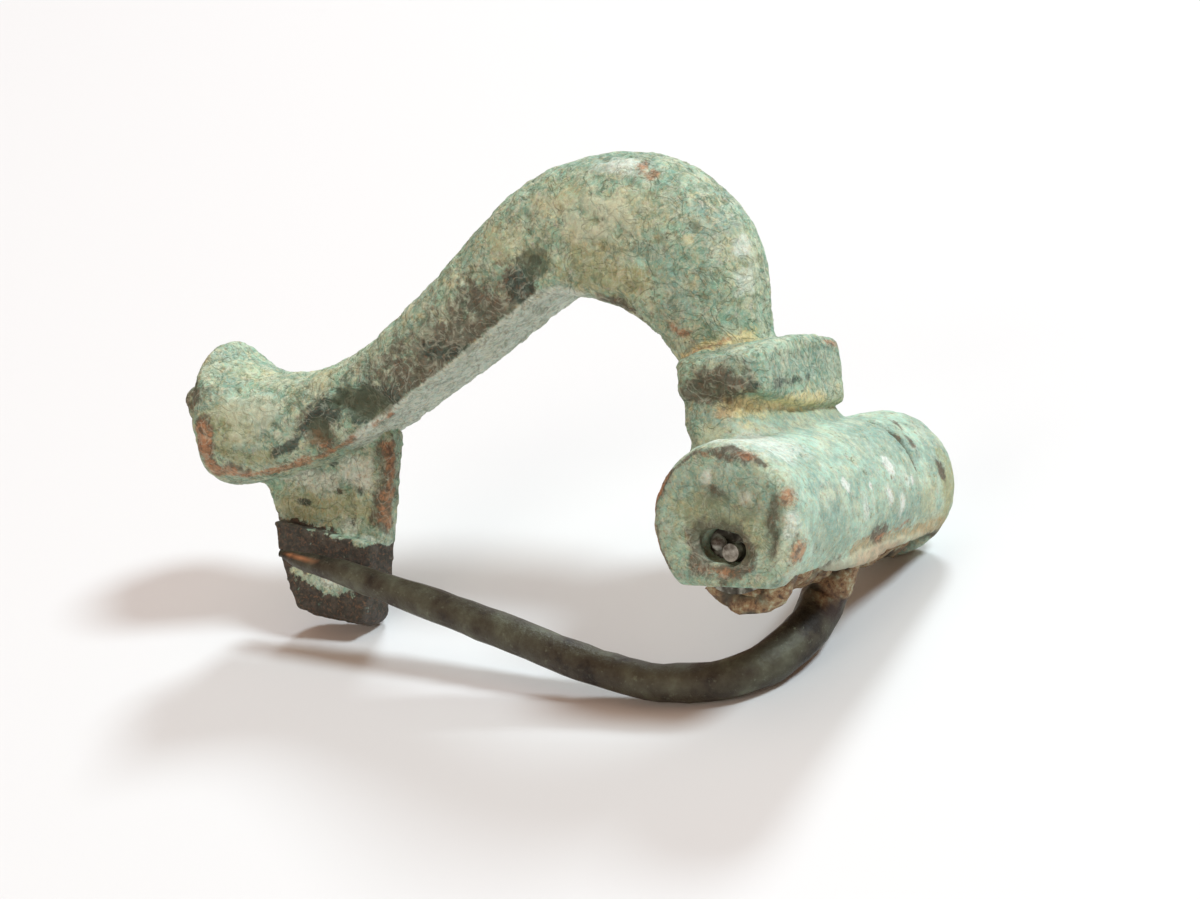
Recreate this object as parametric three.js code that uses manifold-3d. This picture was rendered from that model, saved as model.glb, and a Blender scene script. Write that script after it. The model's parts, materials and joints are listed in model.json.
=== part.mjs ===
// Roman knee brooch: a cast body with its catch, a sprung pin, and the bar that the pin turns on.
// Millimetres. The brooch is shaped in its own frame, with the centre of its head cylinder at the
// origin, +Y along the cylinder, -X towards the foot and +Z towards the knee of the bow, and is then
// turned into the pose in which it lies.
import * as THREE from 'three';
import { mergeVertices } from 'three/addons/utils/BufferGeometryUtils.js';
import Module from 'manifold-3d';

const wasm = await Module();
wasm.setup();

// Driving dimensions
const HEAD_RADIUS = 3.45;
const NEAR_END_RADIUS = 3.6;
const HEAD_LENGTH = 17.4;
const END_BEVEL = 0.45;
const END_WALL = 1.25;
const UNDERSIDE_FLAT = 2.65;
const UNDERSIDE_TILT = THREE.MathUtils.degToRad(9);

const AXIS_X = 0.3;
const AXIS_Z = -1.2;
const AXIS_BAR_RADIUS = 0.4;
const AXIS_HOLE_RADIUS = 0.68;
const AXIS_HOLE_WIDTH = 2.2;
const AXIS_HOLE_CENTRE = new THREE.Vector2(0, -1.0);
const SOCKET_RADIUS = 0.55;
const SOCKET_DEPTH = 0.65;
const SPRING_RADIUS = 2.3;
const SPRING_TURNS = 10;
const SPRING_CLEARANCE = 0.2;
const END_TURN_RADIUS = 2.0;
const END_TURN_LENGTH = 2.2;
const END_TURN_CENTRE = new THREE.Vector2(0.3, -2.1);
const LIP_LEVEL = -1.8;

const COLLAR_WIDTH = 9.0;
const COLLAR_DEPTH = 4.2;
const NECK_SHIFT = -0.2;
const COLLAR_NEAR_THICKNESS = 1.6;
const COLLAR_FAR_THICKNESS = 2.9;
const COLLAR_TILT = THREE.MathUtils.degToRad(15);
const COLLAR_TOP = new THREE.Vector3(-3.4, -0.45, 6.5);

const NIPPLE_RADIUS = 1.1;
const NIPPLE_STRETCH = 1.35;
const NIPPLE_CENTRE = new THREE.Vector3(-34.9, 0, -1.4);

const PLATE_THICKNESS = 1.25;
const FOLD_GAP = 0.35;
const LIP_THICKNESS = 0.55;
const LIP_TOP = -6.4;
const PLATE_TOP = -0.9;
const PLATE_BOTTOM = -10.95;
const PLATE_BOTTOM_RISE = 0.15;
const PLATE_FRONT = -23.2;

const PIN_ROOT_RADIUS = 1.15;
const PIN_RADIUS = 0.92;
const PIN_TIP_RADIUS = 0.32;
const PIN_TAPER = 5;

const FACETS = 28;

// The pose in which it lies: leaning on the far end of the head, with the head pitched down
const REST_LEAN = THREE.MathUtils.degToRad(21.72);
const REST_PITCH = THREE.MathUtils.degToRad(9.65);

const patina = new THREE.MeshStandardMaterial({ color: 0x8fb3a0, roughness: 0.9, metalness: 0.1 });
const darkBronze = new THREE.MeshStandardMaterial({ color: 0x4c4f42, roughness: 0.55, metalness: 0.5 });
const wornBronze = new THREE.MeshStandardMaterial({ color: 0x6b5444, roughness: 0.7, metalness: 0.4 });

// --- solids -----------------------------------------------------------------------------------

function toSolid(geometry) {
  const bare = geometry.clone();
  bare.deleteAttribute('normal');
  bare.deleteAttribute('uv');
  const merged = mergeVertices(bare, 1e-4);
  const vertProperties = new Float32Array(merged.attributes.position.array);
  const triVerts = new Uint32Array(merged.index.array);
  return new wasm.Manifold(new wasm.Mesh({ numProp: 3, vertProperties, triVerts }));
}

function toMesh(name, solid, material) {
  const { vertProperties, triVerts } = solid.getMesh();
  const geometry = new THREE.BufferGeometry();
  geometry.setAttribute('position', new THREE.BufferAttribute(vertProperties, 3));
  geometry.setIndex(new THREE.BufferAttribute(triVerts, 1));
  geometry.computeVertexNormals();
  const mesh = new THREE.Mesh(geometry, material);
  mesh.name = name;
  return mesh;
}

// Skins a row of rings, each a closed loop of the same number of points, and caps both ends.
function loft(rings) {
  const size = rings[0].length;
  const positions = rings.flat().flatMap((p) => [p.x, p.y, p.z]);
  const index = [];
  for (let r = 0; r < rings.length - 1; r += 1) {
    for (let i = 0; i < size; i += 1) {
      const a = r * size + i;
      const b = r * size + (i + 1) % size;
      index.push(a, b, b + size, a, b + size, a + size);
    }
  }
  const ends = [[rings[0], 0, false], [rings.at(-1), (rings.length - 1) * size, true]];
  for (const [ring, first, forward] of ends) {
    const centre = ring.reduce((sum, p) => sum.add(p), new THREE.Vector3()).divideScalar(size);
    const hub = positions.length / 3;
    positions.push(centre.x, centre.y, centre.z);
    for (let i = 0; i < size; i += 1) {
      const a = first + i;
      const b = first + (i + 1) % size;
      index.push(...(forward ? [a, b, hub] : [b, a, hub]));
    }
  }
  const geometry = new THREE.BufferGeometry();
  geometry.setAttribute('position', new THREE.Float32BufferAttribute(positions, 3));
  geometry.setIndex(index);
  return geometry;
}

const roundTo = (value, power) => Math.sign(value) * Math.abs(value) ** power;

// One ring of the bow between its crest and its underside: a crowned back over a flatter belly.
// A crown over 1 is peaked, and a flatness near 0 is square.
function bowRing(crest, under, width, flatness, crown) {
  const centre = crest.clone().add(under).multiplyScalar(0.5);
  const up = crest.clone().sub(under).multiplyScalar(0.5);
  const ring = [];
  for (let i = 0; i < FACETS; i += 1) {
    const angle = (i / FACETS) * 2 * Math.PI;
    const lift = Math.sin(angle);
    const power = lift > 0 ? crown : flatness;
    const side = new THREE.Vector3(0, (-width / 2) * roundTo(Math.cos(angle), power), 0);
    ring.push(centre.clone().addScaledVector(up, roundTo(lift, power)).add(side));
  }
  return ring;
}

// --- head -------------------------------------------------------------------------------------

function headCylinder() {
  const half = HEAD_LENGTH / 2;
  const profile = [
    new THREE.Vector2(0, -half),
    new THREE.Vector2(NEAR_END_RADIUS - END_BEVEL, -half),
    new THREE.Vector2(NEAR_END_RADIUS - 0.1, -half + 0.3),
    new THREE.Vector2(NEAR_END_RADIUS, -half + 0.9),
    new THREE.Vector2(HEAD_RADIUS, -half + 3.4),
    new THREE.Vector2(HEAD_RADIUS, half - 0.9),
    new THREE.Vector2(HEAD_RADIUS - 0.1, half - 0.3),
    new THREE.Vector2(HEAD_RADIUS - END_BEVEL, half),
    new THREE.Vector2(0, half),
  ];
  return toSolid(new THREE.LatheGeometry(profile, 48));
}

function alongY(radius, length, segments = 40) {
  return new THREE.CylinderGeometry(radius, radius, length, segments);
}

function springChamber() {
  const length = HEAD_LENGTH - 2 * END_WALL;
  const bore = toSolid(alongY(SPRING_RADIUS + SPRING_CLEARANCE, length).translate(AXIS_X, 0, AXIS_Z));
  const drop = 6;
  const mouth = new THREE.BoxGeometry(4 * HEAD_RADIUS, length, drop);
  mouth.translate(0, 0, LIP_LEVEL - drop / 2);
  return bore.add(toSolid(mouth));
}

// The slot for the bar in an end wall: two overlapping round holes side by side.
function axisHole(y) {
  const offset = AXIS_HOLE_WIDTH / 2 - AXIS_HOLE_RADIUS;
  const depth = 2 * END_WALL + 0.4;
  const lobes = [-offset, offset].map((side) => {
    const lobe = alongY(AXIS_HOLE_RADIUS, depth, 24);
    return toSolid(lobe.translate(AXIS_HOLE_CENTRE.x + side, y, AXIS_HOLE_CENTRE.y));
  });
  return lobes[0].add(lobes[1]);
}

// The blind socket in the far wall that holds the bar's other end.
function barSocket() {
  const depth = SOCKET_DEPTH + 0.2;
  const y = HEAD_LENGTH / 2 - END_WALL + SOCKET_DEPTH - depth / 2;
  return toSolid(alongY(SOCKET_RADIUS, depth, 20).translate(AXIS_X, y, AXIS_Z));
}

// Flattens the underside of the near part; the far end keeps its round rim.
function undersideCut() {
  const length = HEAD_LENGTH - END_WALL;
  const block = new THREE.BoxGeometry(20, length, 10);
  block.translate(0, -HEAD_LENGTH / 2 + length / 2 - 0.2, -UNDERSIDE_FLAT - 5);
  block.rotateY(-UNDERSIDE_TILT);
  return toSolid(block);
}

// --- collar and neck --------------------------------------------------------------------------

// A slab that arches a little at its middle and grows thicker towards the far end.
function collar() {
  const rings = [];
  const stations = [
    { y: -1, depth: 0.72, back: 0.3, rise: 0, drop: 0 },
    { y: -0.86, depth: 1, back: 0, rise: 0.05, drop: 0 },
    { y: -0.4, depth: 1.02, back: 0, rise: 0.35, drop: 0.2 },
    { y: 0, depth: 1.02, back: 0, rise: 0.5, drop: 0.3 },
    { y: 0.5, depth: 1, back: 0, rise: 0.4, drop: 0.2 },
    { y: 0.9, depth: 0.97, back: 0, rise: 0.15, drop: 0.05 },
    { y: 1, depth: 0.85, back: 0.2, rise: -0.1, drop: 0 },
  ];
  for (const { y, depth, back, rise, drop } of stations) {
    const along = (y * COLLAR_WIDTH) / 2;
    const thickness = THREE.MathUtils.lerp(COLLAR_NEAR_THICKNESS, COLLAR_FAR_THICKNESS, (y + 1) / 2);
    const under = -thickness - drop;
    const front = (depth * COLLAR_DEPTH) / 2;
    const rear = -COLLAR_DEPTH / 2 + back;
    const bevel = 0.2;
    const corners = [
      [rear, rise - bevel], [rear + bevel, rise], [front - bevel, rise], [front, rise - bevel],
      [front, under + bevel], [front - bevel, under], [rear + bevel, under], [rear, under + bevel],
    ];
    rings.push(corners.map(([x, z]) => new THREE.Vector3(x, along, z)));
  }
  const slab = loft(rings);
  slab.rotateY(-COLLAR_TILT);
  slab.translate(COLLAR_TOP.x, COLLAR_TOP.y, COLLAR_TOP.z);
  return toSolid(slab);
}

// The waisted block between the collar and the cylinder, flaring out onto the cylinder.
function neckBlock() {
  const rings = [];
  const stations = [
    { z: 1.0, x: -1.6, depth: 5.6, width: 11.1 },
    { z: 2.6, x: -1.9, depth: 5.2, width: 10.7 },
    { z: 3.5, x: -2.8, depth: 4.8, width: 9.9 },
    { z: 4.2, x: -3.3, depth: 3.9, width: 9.4 },
    { z: 5.4, x: -3.5, depth: 3.8, width: 9.1 },
  ];
  for (const { z, x, depth, width } of stations) {
    const ring = [];
    for (let i = 0; i < FACETS; i += 1) {
      const angle = (i / FACETS) * 2 * Math.PI;
      const across = (depth / 2) * roundTo(Math.cos(angle), 0.6);
      const along = (width / 2) * roundTo(Math.sin(angle), 0.6);
      ring.push(new THREE.Vector3(x + across, along + NECK_SHIFT, z));
    }
    rings.push(ring);
  }
  return toSolid(loft(rings));
}

// --- bow --------------------------------------------------------------------------------------

// From the collar over the knee and down the leg: crest, underside, width, belly flatness, crown.
const BOW_STATIONS = [
  { crest: [-1.9, 5.2], under: [-5.6, 4.0], width: 4.6, flatness: 0.8, crown: 0.85 },
  { crest: [-3.45, 7.4], under: [-7.0, 5.4], width: 4.7, flatness: 0.75, crown: 0.85 },
  { crest: [-3.9, 9.7], under: [-8.2, 6.6], width: 5.0, flatness: 0.6, crown: 0.85 },
  { crest: [-5.05, 12.2], under: [-9.4, 7.3], width: 5.3, flatness: 0.45, crown: 0.85 },
  { crest: [-7.4, 14.0], under: [-11.0, 7.8], width: 5.4, flatness: 0.35, crown: 0.85 },
  { crest: [-10.4, 14.7], under: [-12.6, 7.9], width: 5.4, flatness: 0.3, crown: 0.85 },
  { crest: [-13.4, 14.2], under: [-14.0, 7.6], width: 5.3, flatness: 0.3, crown: 0.85 },
  { crest: [-16.3, 12.8], under: [-15.2, 6.7], width: 5.1, flatness: 0.22, crown: 0.85 },
  { crest: [-18.6, 10.4], under: [-16.9, 5.2], width: 4.9, flatness: 0.22, crown: 0.85 },
  { crest: [-21.2, 7.2], under: [-19.1, 3.2], width: 4.8, flatness: 0.22, crown: 0.85 },
  { crest: [-24.0, 4.1], under: [-22.0, 0.7], width: 4.8, flatness: 0.22, crown: 0.85 },
  { crest: [-26.2, 2.4], under: [-24.6, -1.6], width: 4.9, flatness: 0.45, crown: 0.85 },
  { crest: [-28.0, 1.5], under: [-27.2, -3.2], width: 5.3, flatness: 0.55, crown: 0.88 },
  { crest: [-29.8, 1.0], under: [-29.6, -4.2], width: 6.0, flatness: 0.7, crown: 0.9 },
  { crest: [-31.5, 0.95], under: [-31.4, -4.8], width: 6.8, flatness: 0.85, crown: 0.92 },
  { crest: [-32.9, 1.35], under: [-32.5, -5.1], width: 7.3, flatness: 0.9, crown: 0.95 },
  { crest: [-33.8, 2.05], under: [-33.1, -4.9], width: 6.6, flatness: 0.95, crown: 0.95 },
  { crest: [-34.4, 1.6], under: [-33.5, -4.0], width: 5.2, flatness: 1, crown: 0.95 },
  { crest: [-34.75, 0.0], under: [-34.4, -2.7], width: 2.2, flatness: 1, crown: 0.95 },
];

const inPlane = ([x, z]) => new THREE.Vector3(x, 0, z);

function bow() {
  const crest = new THREE.CatmullRomCurve3(BOW_STATIONS.map((s) => inPlane(s.crest)));
  const under = new THREE.CatmullRomCurve3(BOW_STATIONS.map((s) => inPlane(s.under)));
  const last = BOW_STATIONS.length - 1;
  const perStation = 2;
  const rings = [];
  for (let i = 0; i <= last * perStation; i += 1) {
    const t = i / (last * perStation);
    const low = Math.min(Math.floor(t * last), last - 1);
    const mix = t * last - low;
    const between = (key) => THREE.MathUtils.lerp(BOW_STATIONS[low][key], BOW_STATIONS[low + 1][key], mix);
    const [width, flatness, crown] = ['width', 'flatness', 'crown'].map(between);
    rings.push(bowRing(crest.getPoint(t), under.getPoint(t), width, flatness, crown));
  }
  return toSolid(loft(rings));
}

function nipple() {
  const knob = new THREE.SphereGeometry(NIPPLE_RADIUS, 16, 10);
  knob.scale(NIPPLE_STRETCH, 1, 1);
  knob.translate(NIPPLE_CENTRE.x, NIPPLE_CENTRE.y, NIPPLE_CENTRE.z);
  return toSolid(knob);
}

// --- catch ------------------------------------------------------------------------------------

function extrudeInY(shape, y, thickness) {
  const geometry = new THREE.ExtrudeGeometry(shape, { depth: thickness, bevelEnabled: false });
  geometry.rotateX(Math.PI / 2);
  geometry.translate(0, y + thickness, 0);
  return toSolid(geometry);
}

// The plate's outline, from its front edge round the lower end to its back edge.
function plateOutline(inset) {
  const back = PLATE_FRONT + inset;
  const bottom = PLATE_BOTTOM + inset;
  const shape = new THREE.Shape();
  shape.moveTo(PLATE_FRONT, PLATE_TOP);
  shape.lineTo(PLATE_FRONT + 0.05, bottom + 0.6);
  shape.lineTo(PLATE_FRONT - 0.3, bottom + PLATE_BOTTOM_RISE);
  shape.lineTo(back - 3.6, bottom);
  shape.quadraticCurveTo(back - 4.7, bottom, back - 5.4, bottom + 1.6);
  shape.lineTo(back - 6.0, PLATE_BOTTOM + 3.4);
  shape.quadraticCurveTo(back - 6.3, PLATE_BOTTOM + 5.3, back - 7.7, PLATE_BOTTOM + 6.4);
  shape.lineTo(back - 8.6, PLATE_TOP);
  shape.closePath();
  return shape;
}

// The plate, with its lower edge folded up towards the near side to hold the pin.
function catchplate() {
  const plate = extrudeInY(plateOutline(0), -PLATE_THICKNESS / 2, PLATE_THICKNESS);
  const foldDepth = FOLD_GAP + LIP_THICKNESS;
  const folded = extrudeInY(plateOutline(0.4), -PLATE_THICKNESS / 2 - foldDepth, foldDepth + 0.2);
  const fold = folded.trimByPlane([0, 0, -1], -LIP_TOP);
  const channel = new THREE.BoxGeometry(20, FOLD_GAP, 8);
  channel.translate(-26, -PLATE_THICKNESS / 2 - FOLD_GAP / 2, PLATE_BOTTOM + 1.1 + 4);
  return plate.add(fold.subtract(toSolid(channel)));
}

// --- pin --------------------------------------------------------------------------------------

// The wire leaves the front of the spring, swings out to the near side and runs back to the catch.
const PIN_ROUTE = [
  [0.7, 0.3, -3.1], [1.05, 0, -4.6], [1.15, -2.0, -5.9], [-0.1, -4.3, -7.3], [-3.2, -5.3, -8.4],
  [-7.4, -5.1, -8.6], [-12.3, -4.6, -8.25], [-18.4, -3.9, -7.85], [-23.6, -3.4, -7.6], [-27.6, -3.1, -7.45],
];

function pinWire() {
  const route = new THREE.CatmullRomCurve3(PIN_ROUTE.map((p) => new THREE.Vector3(...p)));
  const steps = 48;
  const sides = 12;
  const frames = route.computeFrenetFrames(steps);
  const rings = [];
  for (let s = 0; s <= steps; s += 1) {
    const t = s / steps;
    const centre = route.getPointAt(t);
    const shank = THREE.MathUtils.lerp(PIN_RADIUS, PIN_TIP_RADIUS, t ** PIN_TAPER);
    const radius = shank + (PIN_ROOT_RADIUS - PIN_RADIUS) * (1 - t) ** 6;
    const ring = [];
    for (let i = 0; i < sides; i += 1) {
      const angle = (i / sides) * 2 * Math.PI;
      const point = centre.clone().addScaledVector(frames.normals[s], radius * Math.cos(angle));
      ring.push(point.addScaledVector(frames.binormals[s], radius * Math.sin(angle)));
    }
    rings.push(ring);
  }
  return toSolid(loft(rings));
}

// The wound turns, drawn as a ribbed drum with a hole for the bar.
function springTurns() {
  const length = HEAD_LENGTH - 2 * END_WALL - 0.6;
  const wire = length / SPRING_TURNS;
  const bore = AXIS_BAR_RADIUS + 0.3;
  const profile = [new THREE.Vector2(bore, -length / 2)];
  const steps = 4;
  for (let turn = 0; turn < SPRING_TURNS; turn += 1) {
    for (let i = 0; i < steps; i += 1) {
      const angle = (i / steps) * Math.PI;
      const y = -length / 2 + wire * (turn + (1 - Math.cos(angle)) / 2);
      profile.push(new THREE.Vector2(SPRING_RADIUS - (wire / 2) * (1 - Math.sin(angle)), y));
    }
  }
  profile.push(new THREE.Vector2(SPRING_RADIUS - wire / 2, length / 2));
  profile.push(new THREE.Vector2(bore, length / 2));
  profile.push(profile[0].clone());
  const drum = toSolid(new THREE.LatheGeometry(profile, 28).translate(AXIS_X, 0, AXIS_Z));
  const endTurn = alongY(END_TURN_RADIUS, END_TURN_LENGTH, 32);
  const endTurnY = (END_TURN_LENGTH - length) / 2;
  endTurn.translate(END_TURN_CENTRE.x, endTurnY, END_TURN_CENTRE.y);
  const barHole = alongY(bore, HEAD_LENGTH, 24).translate(AXIS_X, 0, AXIS_Z);
  return drum.add(toSolid(endTurn)).subtract(toSolid(barHole));
}

// --- assembly ---------------------------------------------------------------------------------

function broochBody() {
  let solid = headCylinder().add(neckBlock());
  solid = solid.subtract(undersideCut()).subtract(springChamber());
  solid = solid.subtract(axisHole(-HEAD_LENGTH / 2)).subtract(barSocket());
  solid = solid.add(collar()).add(bow()).add(nipple()).add(catchplate());
  return toMesh('brooch_body', solid, patina);
}

function axisBar() {
  const start = -HEAD_LENGTH / 2 + 0.5;
  const end = HEAD_LENGTH / 2 - END_WALL + SOCKET_DEPTH - 0.1;
  const bar = alongY(AXIS_BAR_RADIUS, end - start, 20);
  bar.translate(AXIS_X, (start + end) / 2, AXIS_Z);
  return toMesh('axis_bar', toSolid(bar), wornBronze);
}

function pin() {
  return toMesh('pin', springTurns().add(pinWire()), darkBronze);
}

// Leans and pitches the brooch, and stands its box on the ground over the origin.
function layDown(...pieces) {
  const leaning = new THREE.Group();
  leaning.rotation.x = -REST_LEAN;
  leaning.add(...pieces);
  const lying = new THREE.Group();
  lying.rotation.y = REST_PITCH;
  lying.add(leaning);
  const box = new THREE.Box3().setFromObject(lying, true);
  const centre = box.getCenter(new THREE.Vector3());
  lying.position.set(-centre.x, -centre.y, -box.min.z);
  return lying;
}

const brooch = new THREE.Group();
brooch.add(layDown(broochBody(), pin(), axisBar()));

export default brooch;
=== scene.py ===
"""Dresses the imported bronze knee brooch: its patinated casting, coiled pin, bar and studio."""

import json
import math

import bmesh
import bpy
import numpy as np
from mathutils import Matrix, Vector, noise

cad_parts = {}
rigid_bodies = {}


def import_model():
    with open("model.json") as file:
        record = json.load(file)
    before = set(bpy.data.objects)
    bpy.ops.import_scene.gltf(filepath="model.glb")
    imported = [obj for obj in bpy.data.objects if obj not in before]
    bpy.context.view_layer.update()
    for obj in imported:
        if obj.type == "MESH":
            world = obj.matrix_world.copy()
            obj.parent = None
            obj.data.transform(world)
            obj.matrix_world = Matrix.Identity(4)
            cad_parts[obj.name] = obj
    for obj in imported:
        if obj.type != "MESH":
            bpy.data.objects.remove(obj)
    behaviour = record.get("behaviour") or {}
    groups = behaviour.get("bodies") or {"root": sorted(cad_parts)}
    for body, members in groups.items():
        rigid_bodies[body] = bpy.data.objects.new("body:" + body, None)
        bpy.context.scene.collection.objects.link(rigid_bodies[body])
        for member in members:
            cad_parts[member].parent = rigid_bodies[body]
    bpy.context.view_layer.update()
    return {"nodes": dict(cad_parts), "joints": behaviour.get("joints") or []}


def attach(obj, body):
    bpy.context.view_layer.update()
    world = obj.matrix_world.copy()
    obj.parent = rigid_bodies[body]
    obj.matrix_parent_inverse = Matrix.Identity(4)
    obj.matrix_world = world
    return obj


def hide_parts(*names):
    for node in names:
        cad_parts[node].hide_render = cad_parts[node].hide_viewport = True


bl_info = {
    "name": "Bronze Knee Brooch",
    "version": (1, 0, 0),
    "blender": (4, 5, 0),
    "location": "View3D > Sidebar > Brooch",
    "description": "Dresses a packed knee brooch with patina, a wound pin and a studio",
    "category": "Object",
}

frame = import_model()

# The brooch's own frame, in millimetres: the centre of the head cylinder is the origin, +Y runs
# along the cylinder, -X points to the foot and +Z to the knee. It lies leaned over and pitched.
MM = 0.001
LEAN = math.radians(21.72)
PITCH = math.radians(9.65)
BAR_CENTRE = Vector((0.3, 0.0, -1.2))
TURN = Matrix.Rotation(PITCH, 3, "Y") @ Matrix.Rotation(-LEAN, 3, "X")
ORIGIN = Vector(frame["joints"][0]["pos_m"]) - TURN @ BAR_CENTRE * MM


def to_world(point):
    """A place in the world, in metres, from one in the brooch's own frame."""
    return ORIGIN + TURN @ Vector(point) * MM


def set_square(centre, sizes):
    """The matrix of a shape of size 1 that gets these sizes, square to the brooch's own frame."""
    return Matrix.LocRotScale(to_world(centre), TURN.to_quaternion(), Vector(sizes) * MM)


# --- shared helpers: nodes and materials ------------------------------------------------------


def srgb(code):
    """A linear RGBA colour from an sRGB hex code."""
    values = [int(code[i : i + 2], 16) / 255 for i in (1, 3, 5)]
    linear = [v / 12.92 if v <= 0.04045 else ((v + 0.055) / 1.055) ** 2.4 for v in values]
    return (*linear, 1.0)


def add_node(tree, kind, settings=None, inputs=None):
    """Adds a node, sets its properties or its ramp's stops, and sets or links its inputs."""
    node = tree.nodes.new(kind)
    for name, value in (settings or {}).items():
        if name == "stops":
            ramp = node.color_ramp
            while len(ramp.elements) < len(value):
                ramp.elements.new(1.0)
            for element, (position, colour) in zip(ramp.elements, value):
                element.position = position
                element.color = srgb(colour) if isinstance(colour, str) else (colour,) * 3 + (1,)
        else:
            setattr(node, name, value)
    for name, value in (inputs or {}).items():
        if isinstance(value, bpy.types.NodeSocket):
            tree.links.new(value, node.inputs[name])
        else:
            node.inputs[name].default_value = value
    return node


def new_material(name):
    """An empty material and its node tree."""
    material = bpy.data.materials.new(name)
    material.use_nodes = True
    tree = material.node_tree
    tree.nodes.clear()
    return material, tree


def coat(tree, base, over, *shares):
    """Lays one colour over another, as strongly as the product of the shares."""
    amount = shares[0]
    for share in shares[1:]:
        product = add_node(tree, "ShaderNodeMath", {"operation": "MULTIPLY"}, {0: amount, 1: share})
        amount = product.outputs["Value"]
    mix = add_node(tree, "ShaderNodeMix", {"data_type": "RGBA"}, {0: amount, 6: base, 7: over})
    return mix.outputs[2]


def end_material(tree, surface, bumps=None):
    """Ends a material with its surface and its bumps, if any: their height, strength, depth in mm."""
    if bumps:
        height, strength, depth_mm = bumps
        bump = add_node(
            tree,
            "ShaderNodeBump",
            inputs={"Strength": strength, "Distance": depth_mm * MM, "Height": height},
        )
        surface = {**surface, "Normal": bump.outputs["Normal"]}
    shader = add_node(tree, "ShaderNodeBsdfPrincipled", inputs=surface)
    add_node(tree, "ShaderNodeOutputMaterial", inputs={"Surface": shader.outputs["BSDF"]})


# --- shared helpers: meshes -------------------------------------------------------------------


def mesh_from(shape, name):
    """A mesh of a finished bmesh, which is freed."""
    mesh = bpy.data.meshes.new(name)
    shape.to_mesh(mesh)
    shape.free()
    return mesh


def applied(draft, name):
    """A mesh of a draft with its modifiers applied. The draft is removed."""
    bpy.context.scene.collection.objects.link(draft)
    depsgraph = bpy.context.evaluated_depsgraph_get()
    mesh = bpy.data.meshes.new_from_object(draft.evaluated_get(depsgraph))
    bpy.data.batch_remove((draft, draft.data))
    mesh.name = name
    return mesh


def vertex_rows(mesh, values):
    """A row of three numbers for every vertex: its place, "co", or its "normal"."""
    flat = np.zeros(len(mesh.vertices) * 3, np.float32)
    mesh.vertices.foreach_get(values, flat)
    return flat.reshape(-1, 3).astype(float)


def own_points(mesh):
    """Every vertex in the brooch's own frame, in millimetres."""
    return (vertex_rows(mesh, "co") - np.array(ORIGIN)) @ np.array(TURN) / MM


def raise_surface(mesh, height):
    """Moves every vertex out along its normal by a height in mm, but never below the ground."""
    world = vertex_rows(mesh, "co") + vertex_rows(mesh, "normal") * (height * MM)[:, None]
    world[:, 2] = np.maximum(world[:, 2], 0.0)
    mesh.vertices.foreach_set("co", world.astype(np.float32).ravel())


def store_layers(mesh, layers):
    """Stores one value a vertex for each layer, which the materials read by its name."""
    for name, values in layers.items():
        layer = mesh.attributes.new(name, "FLOAT", "POINT")
        layer.data.foreach_set("value", values.astype(np.float32))


def new_piece(name, mesh, material, body, node=None):
    """Links a mesh as a piece that rides on a body, and may stand for a CAD node."""
    mesh.materials.clear()
    mesh.materials.append(material)
    piece = bpy.data.objects.new(name, mesh)
    bpy.context.scene.collection.objects.link(piece)
    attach(piece, body)
    if node:
        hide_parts(node)
    return piece


# --- shared helpers: fields over points -------------------------------------------------------


def smooth_step(edge0, edge1, value):
    """0 at the first edge and 1 at the second, eased between them."""
    share = np.clip((value - edge0) / (edge1 - edge0), 0.0, 1.0)
    return share * share * (3 - 2 * share)


def noise_field(points, size, offset, octaves=1):
    """Signed noise, about -1 to 1, with features of about this size in the points' own unit."""
    shift = Vector((offset, 2.3 * offset, -1.7 * offset))
    scaled = [Vector(p) / size + shift for p in points]
    if octaves == 1:
        return np.array([noise.noise(p) for p in scaled])
    return np.array([noise.fractal(p, 1.0, 2.0, octaves) for p in scaled])


def pit_field(points, size, offset):
    """Distance to the nearest of a scatter of points, 0 in the middle of a pit."""
    shift = Vector((offset, -offset, 0.4 * offset))
    return np.array([noise.voronoi(Vector(p) / size + shift)[0][0] for p in points])


def patch_field(points, centre, half_sizes):
    """How far each point is from a patch's middle: 0 there, 1 at its edge."""
    return np.linalg.norm((points - np.array(centre)) / np.array(half_sizes), axis=1)


def seam_field(points, line):
    """Distance of each point from a line through these points."""
    nearest = np.full(len(points), np.inf)
    for start, end in zip(line, line[1:]):
        first = np.array(start)
        run = np.array(end) - first
        along = np.clip((points - first) @ run / (run @ run), 0.0, 1.0)
        gap = np.linalg.norm(points - first - along[:, None] * run, axis=1)
        nearest = np.minimum(nearest, gap)
    return nearest


# --- settings ---------------------------------------------------------------------------------


class BroochSettings(bpy.types.PropertyGroup):
    """Sizes and colours of the dressed brooch."""

    skin_voxel: bpy.props.FloatProperty(
        name="Skin detail",
        description="Size of the skin's cells",
        default=0.146 * MM,
        unit="LENGTH",
        precision=5,
    )
    relief: bpy.props.FloatProperty(
        name="Crust relief",
        description="Strength of the crust's relief",
        default=1.0,
        min=0.0,
        max=2.0,
    )
    wire_radius: bpy.props.FloatProperty(
        name="Wire radius",
        description="Radius of the spring's wire",
        default=0.66 * MM,
        unit="LENGTH",
        precision=5,
    )
    mint: bpy.props.FloatVectorProperty(
        name="Patina",
        description="Main colour of the patina",
        subtype="COLOR",
        default=srgb("#B0D6C3")[:3],
    )
    floor: bpy.props.FloatVectorProperty(
        name="Floor",
        description="Colour of the floor",
        subtype="COLOR",
        default=srgb("#E3E3E3")[:3],
    )


# --- casting: zones ---------------------------------------------------------------------------

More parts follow.
